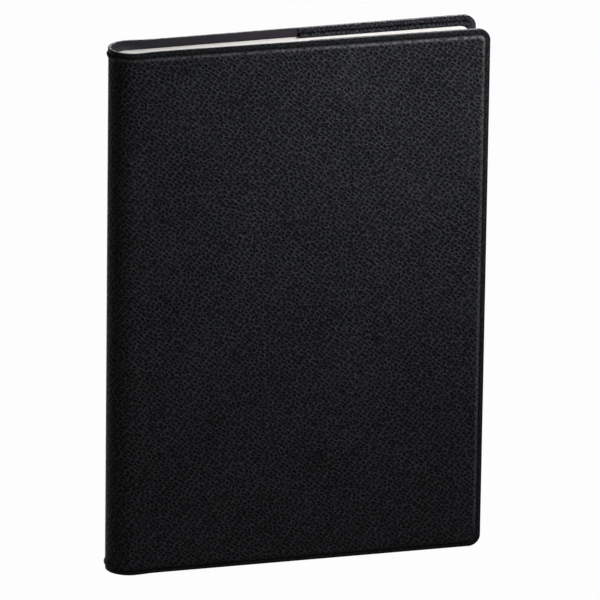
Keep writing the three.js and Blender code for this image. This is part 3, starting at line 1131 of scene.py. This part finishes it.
# %% [markdown]
# ## The pockets
# Each pocket is a strip of the same leatherette, welded to the cover's border on three sides
# and open towards the spine. It is raised by what it holds: the card at the front, the card and
# the booklet at the back. Away from the weld it sags a little towards the leaves. The welding
# bar leaves a groove beside what the pocket holds. It is cut into the face that the leaves see,
# and painted as a crease too, because so narrow a groove is darker than the lamps make it.

# %% Pockets
FLAP_WIDTH = 73.5
FLAP_OPEN = round(COVER_EDGE - FLAP_WIDTH, 2)
FLAP_THICKNESS = 0.7
FLAP_RIM_OUT = 7.3
FLAP_WEB_OUT = {FRONT: 6.75, BACK: 5.7}
FLAP_FOOT = 2.2
FLAP_SLOPE = {FRONT: 0.4, BACK: 0.6}
GROOVE_DEPTH, GROOVE_HALF = 0.4, 0.45
WELD_FADE = 0.8
FLAP_SAG = 0.15
FLAP_SAG_FROM, FLAP_SAG_REACH = 4.5, 12
OPEN_LIFT = 0.12
OPEN_REACH = 6
OPEN_LIFT_FROM, OPEN_LIFT_FULL = 5, 40


def flap_level(side, along, z):
    """Level of the pocket's face towards the cover."""
    distance = border_distance(along, z, 0, COVER_CORNER)
    rise = smooth(FLAP_FOOT, FLAP_FOOT + FLAP_SLOPE[side], distance)
    level = FLAP_RIM_OUT + (FLAP_WEB_OUT[side] - FLAP_RIM_OUT) * rise
    level -= FLAP_SAG * (1 - math.exp(-max(0.0, distance - FLAP_SAG_FROM) / FLAP_SAG_REACH))
    near_opening = 1 - smooth(0, OPEN_REACH, along - FLAP_OPEN)
    return level - OPEN_LIFT * near_opening * smooth(OPEN_LIFT_FROM, OPEN_LIFT_FULL, distance)


def weld_groove(along, z):
    """1 in the line that the welding bar leaves beside what the pocket holds, 0 off it."""
    distance = border_distance(along, z, 0, COVER_CORNER)
    return 1 - smooth(0, GROOVE_HALF, abs(distance - FLAP_FOOT))


def make_flap(side):
    """A pocket as a closed sheet, from its open edge to the fore edge."""
    outer, inner, lays = [], [], []
    painted = {PRESS: [], CREASE: []}
    for z in heights_of(EDGE_STEPS, 0):
        alongs = alongs_at(z, EDGE_STEPS, 0, COVER_CORNER, FLAP_OPEN)
        levels = [flap_level(side, along, z) for along in alongs]
        grooves = [weld_groove(along, z) for along in alongs]
        under = [level - FLAP_THICKNESS + GROOVE_DEPTH * g for level, g in zip(levels, grooves)]
        outer.append([place(side, along, level, z) for along, level in zip(alongs, levels)])
        inner.append([place(side, along, level, z) for along, level in zip(alongs, under)])
        lays.append([(side * along * MM, z * MM) for along in alongs])
        fore_edge = [smooth(FLAP_FOOT, FLAP_FOOT + WELD_FADE, COVER_EDGE - a) for a in alongs]
        painted[PRESS].append([1 - share for share in fore_edge])
        painted[CREASE].append(grooves)
    return closed_sheet(
        SIDE_NAME[side] + "_pocket", outer, inner, lays, POCKET_LEATHERETTE, painted
    )


for side in (FRONT, BACK):
    flap = make_flap(side)
    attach(flap, BODY[side])
    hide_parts(SIDE_NAME[side] + "_flap")
    report(flap)

# %% [markdown]
# ## The leaves
# A section is four sheets laid in each other and folded once, which gives eight leaves. All
# sections follow one rule, so Geometry Nodes folds them: it takes one flat sheet, copies it,
# wraps each copy round its own fold, and spreads the leaves towards the fore edge. The flat
# sheet runs from one fore edge to the other, with the fold in its middle.

# %% One flat sheet
PAGE_WIDTH = 143.5
PAGE_HEIGHT = 210.0
PAPER_THICKNESS = 0.066
FOLD_COLUMNS = [0.05, 0.1, 0.16, 0.23, 0.31, 0.4, 0.5, 0.7]
BEND_COLUMNS = [1.2, 2, 3, 4.2, 5.5, 7, 8.5, 10, 11.5, 13, 16]
FIELD_SHARES = [0.25, 0.5, 0.75, 0.9, 0.97, 1.0]
FIELD_HEIGHTS = [0.2, 0.4, 0.6, 0.8]
CORNER_TURNS = 6


def flat_sheet(name, width, height):
    """A closed flat sheet. x runs along it, y is its thickness and z its height."""
    turns = [k / CORNER_TURNS * math.pi / 2 for k in range(CORNER_TURNS + 1)]
    ends = [PAGE_CORNER * (1 - math.cos(t)) for t in turns]
    heights = ends + [height * s for s in FIELD_HEIGHTS] + [height - z for z in reversed(ends)]
    half = [*FOLD_COLUMNS, *BEND_COLUMNS]
    outer, inner, lays = [], [], []
    for z in heights:
        rise = min(z, height - z)
        inset = 0.0
        if rise < PAGE_CORNER:
            inset = PAGE_CORNER - math.sqrt(max(0.0, PAGE_CORNER**2 - (PAGE_CORNER - rise) ** 2))
        edge = width - inset
        right_half = half + [half[-1] + (edge - half[-1]) * s for s in FIELD_SHARES]
        xs = [-x for x in reversed(right_half)] + [0.0] + right_half
        outer.append([Vector((x, PAPER_THICKNESS / 2, z)) * MM for x in xs])
        inner.append([Vector((x, -PAPER_THICKNESS / 2, z)) * MM for x in xs])
        lays.append([(x * MM, z * MM) for x in xs])
    return closed_sheet(name, outer, inner, lays, PAPER)


print("sheet:", PAGE_WIDTH * 2, "x", PAGE_HEIGHT, "mm before the fold")

# %% [markdown]
# ## The tree that folds the sheets
# Its inputs are named sizes: how many sheets, how far they lie apart at the fold and at the
# fore edge, the width of a leaf, how much fuller a leaf gets towards the fore edge, and a jitter
# with a seed for the small differences between leaves. First Leaf is where a section's numbers
# start, so that no two leaves of the block share a number and with it a tone.

# %% Tree: its inputs
USUAL_FOLD_PITCH, USUAL_FORE_PITCH = 0.075 * MM, 0.125 * MM
USUAL_JITTER = 0.01 * MM
FOLD_INPUTS = (
    ("Sheet", "NodeSocketGeometry", None),
    ("Sheets", "NodeSocketInt", 4),
    ("Fold Pitch", "NodeSocketFloat", USUAL_FOLD_PITCH),
    ("Fore Pitch", "NodeSocketFloat", USUAL_FORE_PITCH),
    ("Leaf Width", "NodeSocketFloat", PAGE_WIDTH * MM),
    ("Fullness", "NodeSocketFloat", 0.0),
    ("Jitter", "NodeSocketFloat", USUAL_JITTER),
    ("Seed", "NodeSocketInt", 1),
    ("First Leaf", "NodeSocketInt", 0),
    ("Paper", "NodeSocketMaterial", None),
)
SHEET_NUMBER = "sheet_number"


def add_fold_inputs(tree):
    """The named inputs, and the sockets that give their values inside the tree."""
    for label, kind, value in FOLD_INPUTS:
        socket = tree.interface.new_socket(label, in_out="INPUT", socket_type=kind)
        if value is not None:
            socket.default_value = value
    tree.interface.new_socket("Section", in_out="OUTPUT", socket_type="NodeSocketGeometry")
    return add_node(tree, "NodeGroupInput").outputs


def stacked_sheets(tree, given):
    """Real copies of the flat sheet, whose points keep the number of their sheet."""
    line = add_node(
        tree, "GeometryNodeMeshLine", {"Count": given["Sheets"], "Offset": (0, 0, 0)}
    )
    copies = add_node(
        tree, "GeometryNodeInstanceOnPoints", {"Points": line, "Instance": given["Sheet"]}
    )
    index = add_node(tree, "GeometryNodeInputIndex")
    numbered = add_node(
        tree,
        "GeometryNodeStoreNamedAttribute",
        {"Geometry": copies, "Name": SHEET_NUMBER, "Value": index},
        data_type="INT",
        domain="INSTANCE",
    )
    return add_node(tree, "GeometryNodeRealizeInstances", {"Geometry": numbered})


print("tree inputs:", ", ".join(row[0] for row in FOLD_INPUTS))

# %% [markdown]
# ## Round the fold
# The copies start as one flat stack. A sheet's number gives it its own radius at the fold. A
# point nearer to the middle of the sheet than a quarter turn goes round the fold, and the rest
# runs straight. The straight run is stretched a little, so that all leaves end flush at the fore
# edge, as after the trimming knife.

# %% Tree: round the fold
def wrap_fold(tree, given, flat, step):
    """A point's way along the leaf, its x and its rise at the fold."""
    reach = add_node(tree, "ShaderNodeMath", {0: flat.outputs[0]}, operation="ABSOLUTE")
    middle_radius = add_node(
        tree, "ShaderNodeMath", {0: step, 1: given["Fold Pitch"]}, operation="MULTIPLY"
    )
    radius = add_node(
        tree, "ShaderNodeMath", {0: middle_radius, 1: flat.outputs[1]}, operation="ADD"
    )
    quarter = add_node(
        tree, "ShaderNodeMath", {0: middle_radius, 1: math.pi / 2}, operation="MULTIPLY"
    )
    past_fold = add_node(tree, "ShaderNodeMath", {0: reach, 1: quarter}, operation="SUBTRACT")
    straight = add_node(tree, "ShaderNodeMath", {0: past_fold, 1: 0.0}, operation="MAXIMUM")
    room = add_node(
        tree, "ShaderNodeMath", {0: given["Leaf Width"], 1: quarter}, operation="SUBTRACT"
    )
    stretch = add_node(
        tree, "ShaderNodeMath", {0: given["Leaf Width"], 1: room}, operation="DIVIDE"
    )
    run = add_node(tree, "ShaderNodeMath", {0: straight, 1: stretch}, operation="MULTIPLY")
    in_fold = add_node(tree, "ShaderNodeMath", {0: reach, 1: quarter}, operation="MINIMUM")
    angle = add_node(tree, "ShaderNodeMath", {0: in_fold, 1: middle_radius}, operation="DIVIDE")
    cosine = add_node(tree, "ShaderNodeMath", {0: angle}, operation="COSINE")
    sine = add_node(tree, "ShaderNodeMath", {0: angle}, operation="SINE")
    back = add_node(tree, "ShaderNodeMath", {0: cosine, 1: radius}, operation="MULTIPLY")
    x = add_node(tree, "ShaderNodeMath", {0: run, 1: back}, operation="SUBTRACT")
    rise = add_node(tree, "ShaderNodeMath", {0: sine, 1: radius}, operation="MULTIPLY")
    return run, x, rise


print("the fold turns a quarter on each side")

# %% [markdown]
# ## Out to the fore edge
# From the fold the leaves drift apart to the pitch that they have at the fore edge, each a
# little differently, because paper is never quite flat. Twice the sheet's number plus or minus
# one numbers the two leaves of a sheet. Each leaf is also drawn fuller towards the fore edge, so
# that no light falls between the leaves.

# %% Tree: out to the fore edge
def spread_leaves(tree, given, flat, step, run, rise, leaf_number):
    """How far a point lies from the middle plane of its section."""
    spread = add_node(
        tree,
        "ShaderNodeMath",
        {0: given["Fore Pitch"], 1: given["Fold Pitch"]},
        operation="SUBTRACT",
    )
    share = add_node(tree, "ShaderNodeMath", {0: run, 1: given["Leaf Width"]}, operation="DIVIDE")
    leaf_spread = add_node(tree, "ShaderNodeMath", {0: step, 1: spread}, operation="MULTIPLY")
    low = add_node(tree, "ShaderNodeMath", {0: given["Jitter"], 1: -1.0}, operation="MULTIPLY")
    differs = add_node(
        tree,
        "FunctionNodeRandomValue",
        {2: low, 3: given["Jitter"], "ID": leaf_number, "Seed": given["Seed"]},
        data_type="FLOAT",
    )
    own = add_node(
        tree, "ShaderNodeMath", {0: leaf_spread, 1: differs.outputs[1]}, operation="ADD"
    )
    fan = add_node(tree, "ShaderNodeMath", {0: own, 1: share}, operation="MULTIPLY")
    middle_level = add_node(tree, "ShaderNodeMath", {0: rise, 1: fan}, operation="ADD")
    fuller = add_node(
        tree, "ShaderNodeMath", {0: share, 1: given["Fullness"]}, operation="MULTIPLY"
    )
    return add_node(
        tree,
        "ShaderNodeMath",
        {0: flat.outputs[1], 1: fuller, 2: middle_level},
        operation="MULTIPLY_ADD",
    )


print("leaves lie apart by", USUAL_FOLD_PITCH / MM, "mm and more")

# %% [markdown]
# ## The whole tree
# The position of every point is set to the folded one, and the leaf's number stays on the points
# for the paper's tone. The tree ends with real geometry and the paper on it, because an export
# drops instances.

# %% Tree: folded sheets
def make_fold_tree():
    """The tree that turns one flat sheet into a folded section."""
    tree = bpy.data.node_groups.new("folded sheets", "GeometryNodeTree")
    given = add_fold_inputs(tree)
    real = stacked_sheets(tree, given)
    number = add_node(
        tree, "GeometryNodeInputNamedAttribute", {"Name": SHEET_NUMBER}, data_type="INT"
    )
    flat = add_node(tree, "ShaderNodeSeparateXYZ", {0: add_node(tree, "GeometryNodeInputPosition")})
    side_of = add_node(tree, "ShaderNodeMath", {0: flat.outputs[0]}, operation="SIGN")
    step = add_node(tree, "ShaderNodeMath", {0: number, 1: 0.5}, operation="ADD")
    doubled = add_node(tree, "ShaderNodeMath", {0: number, 1: 2.0}, operation="MULTIPLY")
    leaf_number = add_node(tree, "ShaderNodeMath", {0: doubled, 1: side_of}, operation="ADD")

    run, x, rise = wrap_fold(tree, given, flat, step)
    level = spread_leaves(tree, given, flat, step, run, rise, leaf_number)
    y = add_node(tree, "ShaderNodeMath", {0: level, 1: side_of}, operation="MULTIPLY")
    target = add_node(tree, "ShaderNodeCombineXYZ", {0: x, 1: y, 2: flat.outputs[2]})
    folded = add_node(tree, "GeometryNodeSetPosition", {"Geometry": real, "Position": target})

    own_number = add_node(
        tree, "ShaderNodeMath", {0: leaf_number, 1: given["First Leaf"]}, operation="ADD"
    )
    marked = add_node(
        tree,
        "GeometryNodeStoreNamedAttribute",
        {"Geometry": folded, "Name": LEAF, "Value": own_number},
        data_type="FLOAT",
        domain="POINT",
    )
    solid = add_node(tree, "GeometryNodeRealizeInstances", {"Geometry": marked})
    dressed = add_node(
        tree, "GeometryNodeSetMaterial", {"Geometry": solid, "Material": given["Paper"]}
    )
    add_node(tree, "NodeGroupOutput", {"Section": dressed})
    return tree


FOLD_TREE = make_fold_tree()
print("tree:", len(FOLD_TREE.nodes), "nodes")

# %% [markdown]
# ## Running a tree
# A modifier's inputs are set by their identifiers before the object is evaluated for the first
# time. The result is turned into a plain mesh, and the helper object goes away.

# %% Run a tree
def run_tree(name, base, tree, values):
    """The tree's result as a plain mesh, and base removed."""
    modifier = base.modifiers.new("tree", "NODES")
    modifier.node_group = tree
    for item in tree.interface.items_tree:
        if item.item_type == "SOCKET" and item.in_out == "INPUT" and item.name in values:
            modifier[item.identifier] = values[item.name]
    bpy.context.view_layer.update()
    graph = bpy.context.evaluated_depsgraph_get()
    mesh = bpy.data.meshes.new_from_object(base.evaluated_get(graph))
    mesh.name = name
    base.modifiers.clear()
    bpy.data.objects.remove(base)
    return mesh


LEAF_FULLNESS = 0.7
LEAF_JITTER = 0.012


def fold_section(name, width, height, sheets, fold_pitch, fore_pitch, seed):
    """Sheets laid in each other and folded once, as a plain mesh. Sizes in millimetres."""
    base = flat_sheet(name + "_flat", width, height)
    values = {
        "Sheets": sheets,
        "Fold Pitch": fold_pitch * MM,
        "Fore Pitch": fore_pitch * MM,
        "Leaf Width": width * MM,
        "Fullness": LEAF_FULLNESS,
        "Jitter": LEAF_JITTER * MM,
        "Seed": seed,
        "First Leaf": 2 * sheets * seed,
        "Paper": PAPER,
    }
    return run_tree(name, base, FOLD_TREE, values)


print("a leaf ends", round(LEAF_FULLNESS * 100), "percent fuller than it starts")

# %% [markdown]
# ## Twelve sections
# The folds lie on a round, as the back of a sewn block does after rounding. The outer sections
# lean out a little, because the block is thicker at the fore edge than the covers press it. Each
# section is one piece, since each turns as one when the planner opens.

# %% Sections
SECTIONS_PER_HALF = 6
SECTION_SHEETS = 4
SECTION_PITCH = 0.87
SECTION_SEED = 11
SQUARE = 3.5
FOLD_ROUND = 5.75
OUTER_LEAN = math.radians(0.7)
OUTER_Y = (SECTIONS_PER_HALF - 0.5) * SECTION_PITCH
FOLD_PITCH, FORE_PITCH = 0.075, 0.128


def place_section(mesh, y):
    """Moves a section to its place on the round of the back, and says where its fold is."""
    fold_x = SPINE_X - math.sqrt(FOLD_ROUND**2 - y**2)
    lean = Matrix.Rotation(OUTER_LEAN * y / OUTER_Y, 4, "Z")
    spot = Vector((fold_x, y + BOOK_Y, SQUARE)) * MM
    mesh.transform(Matrix.Translation(spot) @ lean)
    return spot


for k in range(2 * SECTIONS_PER_HALF):
    number = f"{k + 1:02d}"
    name = "leaves_of_section_" + number
    width = PAGE_WIDTH - SECTION_SHEETS * FOLD_PITCH
    seed = SECTION_SEED + k
    mesh = fold_section(name, width, PAGE_HEIGHT, SECTION_SHEETS, FOLD_PITCH, FORE_PITCH, seed)
    spot = place_section(mesh, (k - SECTIONS_PER_HALF + 0.5) * SECTION_PITCH)
    section = finish_piece(name, mesh, PAPER)
    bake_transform(section)
    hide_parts("section_" + number)
    report(section)

# %% [markdown]
# ## The booklet in the back pocket
# Planners of this kind carry a thin stapled booklet behind the block. It is folded by the same
# tree, with its own sizes, and then each point is put into the pocket with the same function
# that places the cover, so that it leans as the back cover does. That side is a mirror image,
# which turns the faces round, so the normals are recalculated.

# %% Booklet
BOOKLET_LEVEL = 6.25
BOOKLET_START = 6.8
BOOKLET_FOLD = 0.5
BOOKLET_MARGIN = 4.65
BOOKLET_PITCH = 0.12
BOOKLET_SHEETS = 4
BOOKLET_SEED = 5


def make_booklet():
    """The folded sheets of the booklet, placed in the back pocket."""
    width = COVER_EDGE - BOOKLET_MARGIN - BOOKLET_START - BOOKLET_FOLD
    height = COVER_HEIGHT - 2 * BOOKLET_MARGIN
    mesh = fold_section(
        "booklet", width, height, BOOKLET_SHEETS, BOOKLET_PITCH, BOOKLET_PITCH, BOOKLET_SEED
    )
    for vertex in mesh.vertices:
        x, y, z = vertex.co / MM
        along = BOOKLET_START + BOOKLET_FOLD + x
        vertex.co = place(BACK, along, BOOKLET_LEVEL + y, z + BOOKLET_MARGIN)
    bm = bmesh.new()
    bm.from_mesh(mesh)
    bmesh.ops.recalc_face_normals(bm, faces=bm.faces)
    bm.to_mesh(mesh)
    bm.free()
    return finish_piece("booklet", mesh, PAPER)


booklet = make_booklet()
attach(booklet, "back_cover")
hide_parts("pocket_booklet")
report(booklet)

# %% [markdown]
# ## Staples
# Two wire staples go through the booklet's fold. What shows is the back of each one: a straight
# wire on the fold, with both ends bent into the paper. A path of six points carries a ring of
# vertices at each, and the rings are joined to a closed tube.

# %% Staples
STAPLE_LENGTH = 12.0
STAPLE_WIRE = 0.2
STAPLE_HEIGHTS = (56.0, 150.0)
STAPLE_SIDES = 8
STAPLE_REACH = BOOKLET_START - STAPLE_WIRE
STAPLE_BEND = ((0.9, 0.0), (0.25, 0.05), (0.0, 0.3))


def staple_path(z0):
    """Points along and up, from one end of a staple to the other."""
    low = [(STAPLE_REACH + into, z0 + up) for into, up in STAPLE_BEND]
    high = [(STAPLE_REACH + into, z0 + STAPLE_LENGTH - up) for into, up in reversed(STAPLE_BEND)]
    return low + high


def staple_mesh(name, z0):
    """The back of a staple: a wire with its two bent ends, on the booklet's fold."""
    path = staple_path(z0)
    bm = bmesh.new()
    rings = []
    for k, (along, z) in enumerate(path):
        before, after = path[max(0, k - 1)], path[min(len(path) - 1, k + 1)]
        heading = Vector((after[0] - before[0], after[1] - before[1])).normalized()
        ring = []
        for n in range(STAPLE_SIDES):
            turn = 2 * math.pi * n / STAPLE_SIDES
            across = STAPLE_WIRE * math.cos(turn)
            over = STAPLE_WIRE * math.sin(turn)
            point = (along - heading.y * across, BOOKLET_LEVEL + over, z + heading.x * across)
            ring.append(bm.verts.new(place(BACK, *point)))
        rings.append(ring)
    for low, high in zip(rings, rings[1:]):
        for n in range(STAPLE_SIDES):
            m = (n + 1) % STAPLE_SIDES
            bm.faces.new((low[n], low[m], high[m], high[n]))
    bm.faces.new(rings[0])
    bm.faces.new(rings[-1])
    bmesh.ops.recalc_face_normals(bm, faces=bm.faces)
    mesh = bpy.data.meshes.new(name)
    bm.to_mesh(mesh)
    bm.free()
    return mesh


for k, z0 in enumerate(STAPLE_HEIGHTS):
    name = f"staple_{k + 1}"
    staple = finish_piece(name, staple_mesh(name, z0), WIRE)
    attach(staple, "back_cover")
    report(staple)

# %% [markdown]
# ## The glued back
# A layer of glue over gauze holds the folds together behind the block. Its solid already has
# the right shape, so it stays, and it gets its own finish.

# %% Glue
glue = frame["nodes"]["spine_glue"]
glue.data.materials.clear()
glue.data.materials.append(GLUE)
print("glue on", glue.name)

# %% [markdown]
# ## Floor
# The planner stands on a plain white floor. Its Light Path shows it white to the camera and in
# reflections, and to every other ray it is a mid-grey surface. So it bounces little light up to
# the lower half of the cover, which is darker than the upper half in the photograph, and it
# still takes a soft shadow.

# %% Floor
FLOOR_SIDE = 12.0
FLOOR_GLOW = 0.98
FLOOR_GREY = linear("959595")
WHITE = linear("ffffff")


def make_floor_material():
    """White to the camera and in reflections, mid grey as a surface that light falls on."""
    material = bpy.data.materials.new("white studio floor")
    material.use_nodes = True
    tree = material.node_tree
    tree.nodes.clear()
    plain = add_node(tree, "ShaderNodeBsdfDiffuse", {"Color": FLOOR_GREY})
    white = add_node(tree, "ShaderNodeEmission", {"Color": WHITE, "Strength": 1.0})
    ray = add_node(tree, "ShaderNodeLightPath").outputs
    seen = ray["Is Camera Ray"]
    for other in ("Is Glossy Ray", "Is Transmission Ray"):
        seen = add_node(tree, "ShaderNodeMath", {0: seen, 1: ray[other]}, operation="MAXIMUM")
    share = add_node(tree, "ShaderNodeMath", {0: seen, 1: FLOOR_GLOW}, operation="MULTIPLY")
    mixed = add_node(tree, "ShaderNodeMixShader", {0: share, 1: plain, 2: white})
    add_node(tree, "ShaderNodeOutputMaterial", {"Surface": mixed})
    return material


def make_floor():
    """A large plain square under the planner."""
    bm = bmesh.new()
    bmesh.ops.create_grid(bm, x_segments=2, y_segments=2, size=FLOOR_SIDE / 2)
    mesh = bpy.data.meshes.new("floor")
    bm.to_mesh(mesh)
    bm.free()
    mesh.materials.append(make_floor_material())
    floor = bpy.data.objects.new("floor", mesh)
    bpy.context.scene.collection.objects.link(floor)
    return floor


make_floor()
print("floor", FLOOR_SIDE, "m")

# %% [markdown]
# ## Light
# The world is white to the camera and gives only a little light. A small key lamp close to the
# upper right makes the cover lighter at the top than at the bottom and draws the bright line
# along the padding's shoulder. A soft lamp high above lights the edges of the leaves. Three weak
# ones fill in: one from the left for the spine, one from the right for the inside when the
# planner is open, and one from behind for the back cover.

# %% Light
WORLD_STRENGTH = 0.06
MIDDLE = (0, 0, 0.12)


def make_world():
    """White behind everything, and a weak even light."""
    world = bpy.data.worlds.new("studio")
    bpy.context.scene.world = world
    world.use_nodes = True
    tree = world.node_tree
    tree.nodes.clear()
    soft = add_node(tree, "ShaderNodeBackground", {"Color": WHITE, "Strength": WORLD_STRENGTH})
    white = add_node(tree, "ShaderNodeBackground", {"Color": WHITE, "Strength": 1.0})
    ray = add_node(tree, "ShaderNodeLightPath").outputs
    mixed = add_node(tree, "ShaderNodeMixShader", {0: ray["Is Camera Ray"], 1: soft, 2: white})
    add_node(tree, "ShaderNodeOutputWorld", {"Surface": mixed})


def add_lamp(name, spot, aim, sides, watts, spread=180):
    """A rectangular lamp at spot that shines towards aim. spread is in degrees."""
    light = bpy.data.lights.new(name, "AREA")
    light.shape = "RECTANGLE"
    light.size, light.size_y = sides
    light.energy = watts
    light.spread = math.radians(spread)
    lamp = bpy.data.objects.new(name, light)
    bpy.context.scene.collection.objects.link(lamp)
    lamp.location = spot
    lamp.rotation_euler = (Vector(aim) - Vector(spot)).to_track_quat("-Z", "Y").to_euler()
    print(name, watts, "W")


make_world()
add_lamp("key_upper_right", (0.15, -0.27, 0.4), (0.04, 0, 0.19), (0.1, 0.1), watts=0.22, spread=70)
add_lamp("top_soft", (0.03, 0.14, 0.75), (0, 0, 0.21), (0.4, 0.15), watts=0.15, spread=50)
add_lamp("fill_right", (0.95, 0.1, 0.4), MIDDLE, (0.5, 0.5), watts=0.4, spread=60)
add_lamp("fill_left", (-1.1, -0.8, 0.6), MIDDLE, (0.8, 0.8), watts=0.08)
add_lamp("fill_behind", (0.35, 0.9, 0.3), MIDDLE, (0.5, 0.5), watts=1.2, spread=60)
bpy.context.scene.view_settings.view_transform = "Standard"
